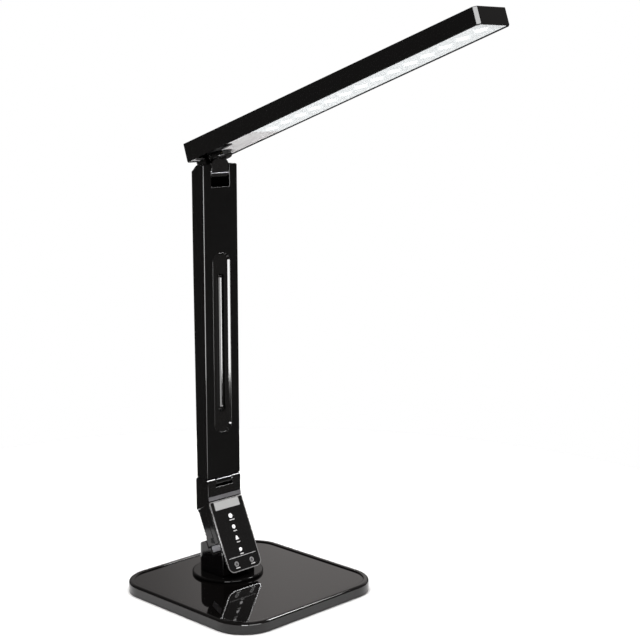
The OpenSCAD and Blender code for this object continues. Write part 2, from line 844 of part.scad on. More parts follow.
module arm_front_shell() {
    color([0.12, 0.12, 0.12])
    difference() {
        union() {
            intersection() {
                translate([0, arm_y + arm_t / 2, shoulder_z]) linear_extrude(arm_top - shoulder_z)
                    round_rect([arm_w, arm_t], arm_edge_r);
                on_arm_front(0) translate([0, 0, -arm_t - over])
                    linear_extrude(arm_t + 2 * over) arm_outline();
                across(arm_w + 2 * over) arm_side();
            }
            translate([-tongue_w / 2, arm_y, arm_pin_z])
                cube([tongue_w, tongue_r + arm_front, shoulder_z - arm_pin_z + over]);
            translate([0, arm_pin_y, arm_pin_z]) bar_x(tongue_r, tongue_w);
        }
        translate([0, arm_pin_y, arm_pin_z]) bar_x(pin_r + pin_fit, arm_w);
        translate([0, head_pin_y, head_pin_z]) bar_x(pin_r + pin_fit, pin_len + 2 * seat);
        head_notch();
        front_recess();
        in_arm_back() translate([-pocket_w / 2, -pocket_d, pocket_z[0]])
            cube([pocket_w, pocket_d + over, pocket_z[1] - pocket_z[0]]);
    }
    // Posts that take the rear cover's screws
    post_base = -pocket_d - drop;
    post_top = -arm_cover_t - seat;
    color([0.12, 0.12, 0.12]) at_arm_screws() translate([0, 0, post_base])
        ring(arm_post_r, shank_r + drop, post_top - post_base);
}

module arm_rear_cover() {
    len = pocket_z[1] - pocket_z[0] - 2 * drop;
    color([0.11, 0.11, 0.11])
    difference() {
        in_arm_back() translate([0, 0, (pocket_z[0] + pocket_z[1]) / 2]) rotate([90, 0, 0])
            linear_extrude(arm_cover_t) square([pocket_w - 2 * drop, len], center = true);
        at_arm_screws() screw_hole(arm_cover_t + over);
    }
}

module arm_screws() {
    color([0.15, 0.15, 0.15]) at_arm_screws() screw(arm_screw_len);
}

module arm_cable() {
    inset = 24;
    color([0.2, 0.2, 0.2]) in_arm_back() translate([-cable_w / 2, drop - pocket_d, pocket_z[0] + inset])
        cube([cable_w, cable_t, pocket_z[1] - pocket_z[0] - 2 * inset]);
}

module tilt_pin() {
    color([0.75, 0.75, 0.77]) translate([0, head_pin_y, head_pin_z]) bar_x(pin_r, pin_len);
}

module tilt_friction_washers() {
    color([0.72, 0.72, 0.74]) translate([0, head_pin_y, head_pin_z]) washer_pair(knuckle_w, knuckle_r - 0.3);
}

// Head hinge

// Seen from the side: the barrel on the pin, and the block that rises to the boss
module knuckle_side() {
    lean = 8.9;
    circle(knuckle_r);
    polygon([[-knuckle_r * cos(head_pitch), -knuckle_r * sin(head_pitch)], [-lean, knuckle_top],
             [0, knuckle_top], [knuckle_r, 0]]);
}

// Seen from the side: the neck that runs back and up under the head
module neck_side() {
    neck_top = head_rise - 2 * seat;
    neck_end_h = 2.2;
    polygon([[0, 0], [0, neck_top], [neck_back, neck_top], [neck_back, neck_top - neck_end_h],
             [knuckle_r, 0]]);
}

// The block seen from the front, with round shoulders
module knuckle_front() {
    low = -knuckle_r - over;
    translate([-knuckle_w / 2, low]) square([knuckle_w, knuckle_top - shoulder_r - low]);
    translate([shoulder_r - knuckle_w / 2, low]) square([knuckle_w - 2 * shoulder_r, knuckle_top - low]);
    for (x = [-1, 1])
        translate([x * (knuckle_w / 2 - shoulder_r), knuckle_top - shoulder_r]) circle(shoulder_r);
}

module head_knuckle() {
    color([0.12, 0.12, 0.12])
    difference() {
        in_knuckle() union() {
            intersection() {
                across(knuckle_w) knuckle_side();
                rotate([90, 0, 0]) linear_extrude(4 * knuckle_w, center = true) knuckle_front();
            }
            across(knuckle_w) neck_side();
            translate([0, -swivel_ahead, knuckle_top]) rotate_extrude() {
                translate([0, boss_edge_r]) square([boss_r, boss_h - boss_edge_r]);
                square([boss_r - boss_edge_r, boss_h]);
                translate([boss_r - boss_edge_r, boss_edge_r]) circle(boss_edge_r);
            }
        }
        in_knuckle() bar_x(pin_r + pin_fit, arm_w);
        in_knuckle() translate([0, -swivel_ahead, knuckle_top + bolt_floor])
            cylinder(r = bolt_r + pin_fit, h = boss_h);
    }
}

module turning_bolt() {
    from = knuckle_top + bolt_floor - head_rise;
    to = mount_h + mount_t + spring_t + bolt_nut_h + washer_gap;
    color([0.74, 0.74, 0.76]) in_head() translate([0, 0, from]) cylinder(r = bolt_r, h = to - from);
}

module turning_nut() {
    color([0.72, 0.72, 0.74]) in_head() translate([0, 0, mount_h + mount_t + spring_t]) difference() {
        cylinder(r = bolt_nut_r, h = bolt_nut_h, $fn = 6);
        translate([0, 0, -over]) cylinder(r = bolt_r + pin_fit, h = bolt_nut_h + 2 * over);
    }
}

// Head

// Seen from the side: the top slopes down to the front end; y runs backwards
module head_side(drop_top, ends) {
    slope = (head_h_rear - head_h_front) / head_len;
    polygon([[head_rear - ends, -over * ends], [head_rear - ends, head_h_rear - slope * ends - drop_top],
             [ends - head_front, head_h_front + slope * ends - drop_top], [ends - head_front, -over * ends]]);
}

// Seen from above
module head_plan(inset) {
    w = head_w / 2 - inset;
    rear = head_rear - inset;
    front = inset - head_front;
    c = max(head_bevel - inset * (2 - sqrt(2)), 0.2);
    polygon([[-w, rear - c], [c - w, rear], [w - c, rear], [w, rear - c],
             [w, front + c], [w - c, front], [c - w, front], [-w, front + c]]);
}

module head_shell() {
    color([0.13, 0.13, 0.13]) in_head() difference() {
        intersection() {
            across(head_w) head_side(0, 0);
            linear_extrude(2 * head_h_rear) head_plan(0);
        }
        difference() {
            intersection() {
                across(head_w) head_side(head_wall, head_wall);
                translate([0, 0, -over]) linear_extrude(2 * head_h_rear) head_plan(head_wall);
            }
            at_head_screws() translate([0, 0, -head_h_rear])
                cylinder(r = head_post_r, h = head_h_rear - mount_t);
        }
        at_head_screws() translate([0, 0, -head_screw_len - drop])
            cylinder(r = shank_r + pin_fit, h = head_screw_len);
    }
}

// Flat sheet in the head's underside, between two reaches ahead of the turning axis
module underside_sheet(from, to) {
    intersection() {
        translate([-underside_w / 2 + drop, -to, panel_inset])
            cube([underside_w - 2 * drop, to - from, cover_t]);
        linear_extrude(head_h_front) head_plan(head_wall + drop);
    }
}

// Outline of the wire opening, grown all round
module wire_outline(grow) {
    size = [wire_w, wire_ahead + wire_behind] + 2 * [grow, grow];
    middle = [wire_w / 2 - underside_w / 2 - over, (wire_behind - wire_ahead) / 2];
    translate(middle) round_rect(size, wire_w / 2 + grow - pin_fit);
}

module head_rear_cover() {
    bay_len = bay_rear - 2;
    bay_corner_r = 8;
    lip_t = 0.4;
    lip_w = 2;
    color([0.66, 0.66, 0.67]) in_head() difference() {
        underside_sheet(-head_rear, rear_cover_front);
        linear_extrude(head_h_front) {
            circle(boss_r + over);
            translate([0, bay_rear - bay_len / 2]) round_rect([bay_w, bay_len], bay_corner_r);
            wire_outline(0);
        }
        translate([0, 0, panel_inset + lip_t]) linear_extrude(head_h_front) wire_outline(lip_w);
    }
}

module light_diffuser() {
    color([0.97, 0.97, 0.96]) in_head() underside_sheet(diffuser_from, head_front);
}

// Channel that stands on the diffuser and carries the light board
module reflector() {
    from = diffuser_from + reflector_ends[0];
    len = diffuser_end - from - reflector_ends[1];
    w = underside_w - 2 * seat;
    color([0.93, 0.93, 0.93]) in_head() translate([-w / 2, -from - len, panel_z]) difference() {
        cube([w, len, reflector_h + reflector_t]);
        translate([reflector_t, -over, -over])
            cube([w - 2 * reflector_t, len + 2 * over, reflector_h + over]);
    }
}

module led_board() {
    from = diffuser_from + led_board_ends[0];
    len = diffuser_end - from - led_board_ends[1];
    color([0.9, 0.9, 0.88]) in_head()
        translate([-led_board_w / 2, -from - len, panel_z + reflector_h - led_board_t])
            cube([led_board_w, len, led_board_t]);
}

module leds() {
    from = diffuser_from + led_ends[0];
    pitch = (diffuser_end - from - led_ends[1]) / (led_count - 1);
    top = panel_z + reflector_h - led_board_t;
    color([1, 0.97, 0.85]) in_head() for (i = [0:led_count - 1]) translate([0, -from - i * pitch, top]) {
        translate([0, 0, -led_size[2] / 2]) cube(led_size, center = true);
        translate([0, 0, -led_size[2] - 0.3]) cylinder(r = lens_r, h = 0.5);
    }
}

// Places of the four screws that hold the bracket up in the shell
module at_head_screws() {
    for (x = [-1, 1], y = [mount_rear - head_screw_in, head_screw_in - mount_front])
        translate([x * head_screw_x, y, mount_h]) mirror([0, 0, 1]) children();
}

// Bracket that turns on the boss: a plate with a round collar and two side rails on the rear cover
module swivel_mount() {
    w = underside_w - 2 * seat;
    len = mount_rear + mount_front;
    gap = knuckle_top + boss_h - head_rise + seat;
    rail_t = 1;
    color([0.07, 0.07, 0.07]) in_head() difference() {
        union() {
            translate([-w / 2, -mount_front, mount_h]) cube([w, len, mount_t]);
            translate([0, 0, gap]) cylinder(r = boss_r, h = mount_h - gap + over);
            for (x = [-1, 1]) translate([x * (w - rail_t) / 2 - rail_t / 2, -mount_front, panel_z])
                cube([rail_t, len, mount_h - panel_z + over]);
        }
        translate([0, 0, -over]) cylinder(r = bolt_r + pin_fit, h = head_h_rear);
        at_head_screws() screw_hole(mount_t + over);
    }
}

module head_screws() {
    color([0.7, 0.7, 0.72]) in_head() at_head_screws() screw(head_screw_len);
}

module spring_washer() {
    color([0.72, 0.72, 0.7]) in_head() translate([0, 0, mount_h + mount_t])
        ring(bolt_nut_r - 0.5, bolt_r + pin_fit, spring_t);
}

base_cover();
base_floor();
ballast_plate();
anti_slip_pad();
base_screws();
power_inlet();
glide_ring();
swivel_disc();
swivel_spindle();
swivel_washer();
swivel_nut();
turret_housing();
turret_screws();
stem_neck();
stem_housing();
stem_rear_cover();
stem_screws();
control_board();
panel_tray();
panel_bezel();
panel_glass();
display_window();
arm_pin();
arm_friction_washers();
arm_front_shell();
arm_rear_cover();
arm_screws();
arm_cable();
tilt_pin();
tilt_friction_washers();
head_knuckle();
turning_bolt();
turning_nut();
head_shell();
head_rear_cover();
light_diffuser();
reflector();
led_board();
leds();
swivel_mount();
spring_washer();
head_screws();
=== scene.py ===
import json
import math

import bmesh
import bpy
from mathutils import Matrix, Vector


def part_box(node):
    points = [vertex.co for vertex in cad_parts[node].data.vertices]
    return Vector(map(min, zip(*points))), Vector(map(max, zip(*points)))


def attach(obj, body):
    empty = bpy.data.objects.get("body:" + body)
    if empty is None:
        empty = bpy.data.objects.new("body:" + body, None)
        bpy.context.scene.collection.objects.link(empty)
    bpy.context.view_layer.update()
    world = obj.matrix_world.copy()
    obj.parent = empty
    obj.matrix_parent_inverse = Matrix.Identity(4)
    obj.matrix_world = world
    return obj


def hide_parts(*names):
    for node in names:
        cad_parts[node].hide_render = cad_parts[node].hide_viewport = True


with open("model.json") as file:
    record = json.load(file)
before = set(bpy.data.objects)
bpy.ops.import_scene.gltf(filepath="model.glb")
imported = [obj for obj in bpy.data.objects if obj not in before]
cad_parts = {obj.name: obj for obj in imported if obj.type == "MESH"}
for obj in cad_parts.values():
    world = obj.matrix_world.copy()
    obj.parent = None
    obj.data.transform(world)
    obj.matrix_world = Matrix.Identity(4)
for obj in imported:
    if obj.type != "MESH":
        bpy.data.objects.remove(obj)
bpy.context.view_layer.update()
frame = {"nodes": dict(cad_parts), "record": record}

NODES = frame["nodes"]
BEHAVIOUR = frame["record"]["behaviour"]
SLOTS = {part["node"]: part["material_slot"] for part in frame["record"]["subparts"]}
BODY = {node: body for body, names in BEHAVIOUR["bodies"].items() for node in names}
JOINTS = {joint["name"]: joint for joint in BEHAVIOUR["joints"]}

# Places in the frame, in metres
FOLD_PIN = Vector(JOINTS["arm_fold"]["pos_m"])
TILT_PIN = Vector(JOINTS["head_tilt"]["pos_m"])
HEAD_PIVOT = Vector(JOINTS["head_swivel"]["pos_m"])
HEAD_AXIS = Vector(JOINTS["head_swivel"]["axis"])
HEAD_SLOPE = math.atan2(HEAD_AXIS.y, HEAD_AXIS.z)
ARM_LOW, ARM_HIGH = (Vector(corner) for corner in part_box("arm_front_shell"))

# The touch panel's own frame, in millimetres: x across it, z up along it, y into it
PANEL_ORIGIN = (0, 0.032394, 0.081881)
PANEL_LEAN = math.radians(-24.8)
PANEL = Matrix.Translation(PANEL_ORIGIN) @ Matrix.Rotation(PANEL_LEAN, 4, "X") @ Matrix.Scale(0.001, 4)


# Node trees

MATS = {}


class Shader:
    """A node tree under construction, with short ways to add the nodes that the materials share."""

    def __init__(self, tree):
        self.nodes = tree.nodes
        self.links = tree.links

    def feed(self, socket, value):
        """Links an output to a socket, or sets the socket to a plain value."""
        if isinstance(value, bpy.types.NodeSocket):
            self.links.new(value, socket)
        else:
            socket.default_value = value

    def node(self, kind, inputs, **settings):
        """Adds a node with these settings, and feeds its input sockets by name or number."""
        node = self.nodes.new("ShaderNode" + kind)
        for name, value in settings.items():
            setattr(node, name, value)
        for socket, value in inputs.items():
            self.feed(node.inputs[socket], value)
        return node

    def math(self, operation, a, b=0.0):
        return self.node("Math", {0: a, 1: b}, operation=operation).outputs["Value"]

    def coordinate(self, kind):
        return self.node("TexCoord", {}).outputs[kind]

    def noise(self, scale, detail, stretch=(1, 1, 1)):
        stretched = self.node("Mapping", {"Vector": self.coordinate("Object"), "Scale": stretch})
        inputs = {"Vector": stretched.outputs["Vector"], "Scale": scale, "Detail": detail}
        return self.node("TexNoise", inputs).outputs["Fac"]

    def ramp(self, source, low, high):
        return self.node("MapRange", {"Value": source, "To Min": low, "To Max": high}).outputs["Result"]

    def tint(self, source, dark, light):
        inputs = {"Factor": source, "A": (*dark, 1), "B": (*light, 1)}
        return self.node("Mix", inputs, data_type="RGBA").outputs["Result"]


class Material(Shader):
    """A new material, kept in MATS under its name."""

    def __init__(self, name):
        mat = bpy.data.materials.new(name)
        mat.use_nodes = True
        super().__init__(mat.node_tree)
        MATS[name] = mat

    def set(self, inputs):
        for socket, value in inputs.items():
            self.feed(self.nodes["Principled BSDF"].inputs[socket], value)

    def bump(self, height, strength, depth):
        relief = self.node("Bump", {"Height": height, "Strength": strength, "Distance": depth})
        self.set({"Normal": relief.outputs["Normal"]})


# Plastics and metals

def grey(level, blue=0.0):
    return (level, level, level + blue)


def plastic(name, dark, light, rough, grain=900, relief=0.02, ior=1.5):
    """Moulded plastic: faint colour drift, uneven polish and a very fine skin."""
    drift_scale, skin_depth = 18, 0.0002
    mat = Material(name)
    drift = mat.noise(drift_scale, 2)
    mat.set({"Base Color": mat.tint(drift, dark, light), "Roughness": mat.ramp(drift, *rough), "IOR": ior})
    mat.bump(mat.noise(grain, 2), relief, skin_depth)


def metal(name, dark, light, rough, stretch=(1, 1, 1), grain=700):
    """Metal with drawn or turned grain."""
    line_strength, line_depth = 0.05, 0.0001
    mat = Material(name)
    lines = mat.noise(grain, 4, stretch)
    mat.set({"Base Color": mat.tint(lines, dark, light), "Roughness": mat.ramp(lines, *rough)})
    mat.set({"Metallic": 1.0})
    mat.bump(lines, line_strength, line_depth)


# Black shells, from the foot to the head
plastic("foot_gloss", (0.0016, 0.0014, 0.0014), (0.0026, 0.0023, 0.0022), (0.03, 0.06), 500, 0.01)
plastic("disc_gloss", (0.0016, 0.0015, 0.0015), (0.0026, 0.0024, 0.0024), (0.05, 0.08), 500, 0.01, ior=1.27)
plastic("turret_gloss", (0.0014, 0.0011, 0.0015), (0.0024, 0.0019, 0.0026), (0.08, 0.12))
plastic("stem_gloss", grey(0.0015), grey(0.0025), (0.07, 0.11))
plastic("arm_gloss", grey(0.0015), grey(0.0025), (0.05, 0.08))
plastic("arm_satin", grey(0.006), grey(0.008), (0.18, 0.26), ior=1.2)
# Lighter than the other black shells: the lift is painted sheen, standing in for the grey sheen on the hinge
# boss
plastic("knuckle_gloss", grey(0.006), grey(0.009), (0.12, 0.18))
plastic("head_gloss", grey(0.002), grey(0.003), (0.10, 0.14))

# Dark, rubber and pale plastics
# Near-black for the inside of the arm's hinge notch: painted shade where the notch lies in shadow
plastic("notch_painted_shade", grey(0.0004), grey(0.0008), (0.5, 0.7), ior=1.08)
plastic("dark_plastic", grey(0.006), grey(0.012), (0.45, 0.6), 1400, 0.2)
plastic("pad_rubber", grey(0.008), grey(0.014), (0.75, 0.9), 2200, 0.35)
plastic("cable_rubber", grey(0.02), grey(0.04), (0.6, 0.7), 1800, 0.2)
plastic("nylon", grey(0.68, -0.04), grey(0.78, -0.04), (0.4, 0.5), 1500, 0.1)
plastic("underside_grey", grey(0.90, 0.01), grey(0.95, 0.01), (0.35, 0.45), 1300, 0.06)
plastic("reflector_white", grey(0.78), grey(0.86), (0.5, 0.6), 900, 0.05)

# Boards and touch panel
plastic("board_green", (0.02, 0.12, 0.06), (0.035, 0.17, 0.09), (0.3, 0.4), 1200, 0.1)
plastic("board_white", grey(0.72, -0.02), grey(0.82, -0.02), (0.35, 0.45), 1200, 0.1)
plastic("panel_black", grey(0.002), grey(0.004), (0.2, 0.3))
plastic("panel_face", grey(0.003, 0.0002), grey(0.0045, 0.0003), (0.10, 0.16), 1500, 0.03)
plastic("key_grey", grey(0.26, 0.005), grey(0.34, 0.005), (0.3, 0.4), 1500, 0.05)

# Metals
metal("ballast_steel", grey(0.28, 0.02), grey(0.42, 0.02), (0.35, 0.5), stretch=(1, 14, 1))
metal("bright_steel", grey(0.5, 0.02), grey(0.68, 0.02), (0.18, 0.3), stretch=(1, 1, 12))
metal("black_steel", grey(0.02), grey(0.05), (0.3, 0.45))
metal("bronze", (0.42, 0.33, 0.18), (0.58, 0.47, 0.28), (0.25, 0.4))
metal("neck_silver", grey(0.36, 0.025), grey(0.44, 0.025), (0.32, 0.42), stretch=(1, 10, 10), grain=500)
metal("bezel_chrome", (0.86, 0.87, 0.88), (0.93, 0.94, 0.95), (0.22, 0.32), grain=300)


# Materials that give light

def ink(name, dark, light, glow):
    """Panel print in slightly uneven ink, lit from behind."""
    mat = Material(name)
    colour = mat.tint(mat.noise(1600, 3), dark, light)
    mat.set({"Base Color": colour, "Emission Color": colour, "Emission Strength": glow, "Roughness": 0.4})


def display():
    """Idle grey display with fine rows of cells."""
    mat = Material("display_grey")
    inputs = {"Vector": mat.coordinate("Object"), "Scale": 420, "Distortion": 0.6}
    rows = mat.node("TexWave", inputs, bands_direction="X").outputs["Fac"]
    cells = mat.math("MULTIPLY", rows, mat.noise(260, 3))
    colour = mat.tint(cells, (0.42, 0.425, 0.425), (0.50, 0.505, 0.505))
    mat.set({"Base Color": colour, "Emission Color": colour, "Emission Strength": 0.25, "Roughness": 0.18})


def leds():
    mat = Material("led_yellow")
    mat.set({"Base Color": mat.tint(mat.noise(2600, 2), (0.8, 0.66, 0.2), (0.95, 0.85, 0.4))})
    mat.set({"Emission Color": (1, 0.97, 0.9, 1), "Emission Strength": 4})


def diffuser():
    """Opal sheet lit from behind: a soft glow, brighter over each light source, where a painted glint of
    thin crossed streaks runs through each bright spot.
    """
    first_led, led_pitch = 0.0747, 0.01877
    core_radius, glint_reach, glint_width = 0.0034, 0.0062, 1.6e-6
    lit_end, dim_end, dim_level = 0.318, 0.326, 0.80
    sheet_glow, spot_and_glint_glow = 0.48, 1.9
    grain_scale, grain_strength, grain_depth = 1500, 0.05, 0.0001
    mat = Material("diffuser_white")

    def falling(value, unit):
        """1 at zero, and less by a factor of e for each unit."""
        return mat.math("EXPONENT", mat.math("DIVIDE", value, -unit))

    turn = {"Vector": mat.coordinate("Object"), "Center": HEAD_PIVOT, "Angle": HEAD_SLOPE}
    turned = mat.node("VectorRotate", turn, rotation_type="X_AXIS").outputs["Vector"]
    split = mat.node("SeparateXYZ", {"Vector": turned})
    ahead = mat.math("SUBTRACT", HEAD_PIVOT.y, split.outputs["Y"])
    step = mat.math("DIVIDE", mat.math("SUBTRACT", ahead, first_led), led_pitch)
    off_led = mat.math("SUBTRACT", step, mat.math("ROUND", step))
    along = mat.math("ABSOLUTE", mat.math("MULTIPLY", off_led, led_pitch))
    aside = mat.math("ABSOLUTE", split.outputs["X"])
    square = mat.math("ADD", mat.math("POWER", along, 2), mat.math("POWER", aside, 2))
    core = falling(square, core_radius ** 2)
    # Painted glint: thin crossed streaks through each bright spot, fading with distance
    glint_rays = falling(mat.math("MULTIPLY", along, aside), glint_width)
    fade = falling(mat.math("SQRT", square), glint_reach)
    spot_and_glint = mat.math("ADD", core, mat.math("MULTIPLY", glint_rays, fade))
    glow = mat.math("ADD", sheet_glow, mat.math("MULTIPLY", spot_and_glint, spot_and_glint_glow))
    near_end = {"Value": ahead, "From Min": dim_end, "From Max": lit_end, "To Min": dim_level, "To Max": 1.0}
    lit = mat.math("MULTIPLY", glow, mat.node("MapRange", near_end).outputs["Result"])
    cool = mat.tint(mat.math("MINIMUM", spot_and_glint, 1.0), (0.90, 0.965, 0.985), (1, 1, 1))
    grain = mat.noise(grain_scale, 2)
    mat.set({"Base Color": mat.tint(grain, grey(0.55), grey(0.62)), "Roughness": 0.35})
    mat.set({"Emission Color": cool, "Emission Strength": lit})
    mat.bump(grain, grain_strength, grain_depth)


ink("panel_print", grey(0.78, 0.01), grey(0.9, 0.01), glow=0.55)
ink("panel_lines", grey(0.5), grey(0.6), glow=0.35)
display()
leds()
diffuser()

for name, obj in NODES.items():
    obj.data.materials.clear()
    obj.data.materials.append(MATS[SLOTS[name]])


# Meshes

def skin(bm, rings, closed=False):
    """Joins each ring of points to the next one, and the last to the first where closed."""
    following = rings[1:] + rings[:1] if closed else rings[1:]
    for ring, after in zip(rings, following):
        for i in range(len(ring)):
            j = (i + 1) % len(ring)
            bm.faces.new((ring[i], ring[j], after[j], after[i]))


def solid(bm, outlines):
    """Closed solid between two matching outlines."""
    rings = [[bm.verts.new(point) for point in outline] for outline in outlines]
    skin(bm, rings)
    for ring in rings:
        bm.faces.new(ring)


def smooth(mesh, sharp_from=40):
    """Smooth shading, apart from edges that turn by more than this many degrees."""
    mesh.polygons.foreach_set("use_smooth", [True] * len(mesh.polygons))
    mesh.set_sharp_from_angle(angle=math.radians(sharp_from))


def place(name, data):
    """New object in the scene."""
    obj = bpy.data.objects.new(name, data)
    bpy.context.collection.objects.link(obj)
    return obj


def mesh_object(name, bm, material):
    mesh = bpy.data.meshes.new(name)
    bm.to_mesh(mesh)
    bm.free()
    mesh.materials.append(MATS[material])
    return place(name, mesh)


def arc(cx, cy, radius, start=0, end=360, steps=24):
    """Points along an arc, in degrees. A full circle leaves out its last point, which is its first."""
    count = steps if end - start == 360 else steps + 1
    angles = [math.radians(start + (end - start) * i / steps) for i in range(count)]
    return [(cx + radius * math.cos(a), cy + radius * math.sin(a)) for a in angles]


# Moulded pieces with their edges rounded

def moulded(node, width, keep=lambda point: True):
    """Copy of a CAD piece with the long sharp edges rounded whose ends both pass keep()."""
    weld, flat_angle, sharp_angle, shortest = 2e-6, math.radians(0.5), math.radians(35), 0.002
    mesh = NODES[node].data.copy()
    bm = bmesh.new()
    bm.from_mesh(mesh)
    bmesh.ops.remove_doubles(bm, verts=bm.verts, dist=weld)
    bmesh.ops.dissolve_limit(bm, angle_limit=flat_angle, verts=bm.verts, edges=bm.edges)
    folds = [e for e in bm.edges if len(e.link_faces) == 2 and e.calc_face_angle() > sharp_angle]
    edges = [e for e in folds if e.calc_length() > shortest and all(keep(v.co) for v in e.verts)]
    bmesh.ops.bevel(bm, geom=edges, offset=width, offset_type="OFFSET", segments=3, profile=0.5,
                    affect="EDGES", clamp_overlap=False)
    bm.to_mesh(mesh)
    bm.free()
    if "custom_normal" in mesh.attributes:
        mesh.attributes.remove(mesh.attributes["custom_normal"])
    smooth(mesh)
    obj = place(node + "_moulded", mesh)
    weigh = obj.modifiers.new("normals", "WEIGHTED_NORMAL")
    weigh.keep_sharp = True
    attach(obj, BODY[node])
    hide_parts(node)
    return obj


def second_material(obj, material, test):
    """Gives the faces that pass the test another material."""
    obj.data.materials.append(MATS[material])
    for face in obj.data.polygons:
        if test(face.center, face.normal):
            face.material_index = len(obj.data.materials) - 1


def arm_shell():
    """The arm: its hinge notch at the top is filled with painted shade in near-black, and its flanks and
    front are satin.
    """
    rounded_reach, notch_reach, notch_half, notch_wall = 0.024, 0.0235, 0.0119, 0.001
    flat, edge_width = 0.95, 0.0005

    def in_notch(centre, normal):
        within = ARM_LOW.y + notch_wall < centre.y < ARM_HIGH.y - notch_wall
        return within and abs(centre.x) < notch_half and centre.z > ARM_HIGH.z - notch_reach

    def on_flat(centre, normal):
        flank = abs(normal.x) > flat and abs(centre.x) > ARM_HIGH.x - edge_width
        front = normal.y < -flat and centre.y < ARM_LOW.y + edge_width
        return flank or front

    arm = moulded("arm_front_shell", edge_width, keep=lambda point: point.z > ARM_HIGH.z - rounded_reach)
    # The notch's inner faces get near-black: painted shade
    second_material(arm, "notch_painted_shade", in_notch)
    second_material(arm, "arm_satin", on_flat)


arm_shell()
head = moulded("head_shell", width=0.0006)
moulded("stem_housing", width=0.0005)
moulded("turret_housing", width=0.0012)
moulded("head_knuckle", width=0.0006)
moulded("stem_rear_cover", width=0.0003)
moulded("stem_neck", width=0.0004)
moulded("panel_tray", width=0.0003)


# Marks printed on the touch panel, in the panel's millimetres

PRINT_FRONT, PRINT_BACK = 0.09, 0.15
DISC_Z, RING_Z, BELL_Z, LEAF_Z = -16.8, -27.6, -38.6, -50.1
LOWER_KEYS_X, LOWER_KEYS_Z = (-9.6, 9.6), -62.2


def prism(bm, points, front=PRINT_FRONT):
    solid(bm, [[(x, y, z) for x, z in points] for y in (front, PRINT_BACK)])


def tube(bm, cx, cz, outer, inner, front=PRINT_FRONT):
    section = ((outer, front), (inner, front), (inner, PRINT_BACK), (outer, PRINT_BACK))
    rings = [[bm.verts.new((x, y, z)) for x, z in arc(cx, cz, radius, steps=28)] for radius, y in section]
    skin(bm, rings, closed=True)


def bar(bm, cx, cz, width, height):
    """Bar with round ends."""
    end = height / 2
    shift = width / 2 - end
    prism(bm, arc(cx + shift, cz, end, -90, 90, 8) + arc(cx - shift, cz, end, 90, 270, 8))


def panel_piece(name, bm, material):
    bmesh.ops.recalc_face_normals(bm, faces=bm.faces)
    obj = mesh_object(name, bm, material)
    obj.data.transform(PANEL)
    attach(obj, "stem")


def panel_marks():
    """One sign for each touch key: disc, ring, bell and leaf."""
    disc_radius, ring_outer, ring_inner = 2.3, 1.95, 0.45
    bell_foot, bell_shoulder, bell_top = BELL_Z - 1.6, BELL_Z + 0.9, BELL_Z + 1.3
    bell_radius, leaf_radius = 0.85, 1.8
    bm = bmesh.new()
    prism(bm, arc(0, DISC_Z, disc_radius))
    tube(bm, 0, RING_Z, ring_outer, ring_inner)
    crown = arc(-0.2, bell_top, bell_radius, 150, 20, 8)
    prism(bm, [(-2.0, bell_foot), (-1.2, bell_shoulder)] + crown + [(1.4, BELL_Z), (2.1, bell_foot)])
    prism(bm, arc(0.2, LEAF_Z + 0.2, leaf_radius, -60, 230, 22) + [(-2.1, LEAF_Z - 1.9)])
    panel_piece("panel_marks", bm, "panel_print")


def panel_lines():
    """Bars in place of words, and the line above the two lower keys."""
    bar_shift, bar_drop, bar_height, long_bar, short_bar = 0.4, 4.0, 0.95, 6.6, 4.4
    lower_shift, lower_drop, lower_bar = 0.6, 3.8, 5.2
    line_rise, line_width, line_height = 6.2, 33.5, 0.42
    bm = bmesh.new()
    for z, width in ((DISC_Z, long_bar), (RING_Z, short_bar), (BELL_Z, short_bar), (LEAF_Z, short_bar)):
        bar(bm, bar_shift, z - bar_drop, width, bar_height)
    for x in LOWER_KEYS_X:
        bar(bm, x + lower_shift, LOWER_KEYS_Z - lower_drop, lower_bar, bar_height)
    bar(bm, 0, LOWER_KEYS_Z + line_rise, line_width, line_height)
    panel_piece("panel_lines", bm, "panel_lines")


def key_rings():
    """A ring with a dot for each of the two lower keys."""
    ring_outer, ring_inner, ring_front = 2.6, 1.15, 0.07
    dot_radius, dot_front = 0.55, 0.08
    bm = bmesh.new()
    for x in LOWER_KEYS_X:
        tube(bm, x, LOWER_KEYS_Z, ring_outer, ring_inner, ring_front)
        prism(bm, arc(x, LOWER_KEYS_Z, dot_radius, steps=14), dot_front)
    panel_piece("key_rings", bm, "key_grey")


panel_marks()
panel_lines()
key_rings()


# Thin trim: a lip round the arm's recess; silver pieces as painted light: a strip under the collar as a
# painted reflection, and a bead across each hinge as a painted highlight

def trim_piece(name, bm, body, material, sharp_from=40):
    bmesh.ops.recalc_face_normals(bm, faces=bm.faces)
    obj = mesh_object(name, bm, material)
    smooth(obj.data, sharp_from)
    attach(obj, body)


def strip(name, body, half, line, swell, steps=10):
    """Silver strip with a crowned front, across a face, put in as painted light over a bright line on the
    shell. Its line on that face has two ends, each (y, z).
    """
    low, high = (Vector(end) for end in line)
    run = high - low
    outward = Vector((-run.y, run.x)).normalized() * swell
    crown = [low + run * i / steps + outward * math.sin(math.pi * i / steps) for i in range(steps + 1)]
    outline = crown + [high - outward, low - outward]
    bm = bmesh.new()
    solid(bm, [[(x, *point) for point in outline] for x in (-half, half)])
    trim_piece(name, bm, body, "neck_silver")


def in_front(pin, depth, low, high):
    """Line on the face that lies this far in front of a hinge pin, from low to high beside the pin."""
    return (pin.y - depth, pin.z + low), (pin.y - depth, pin.z + high)


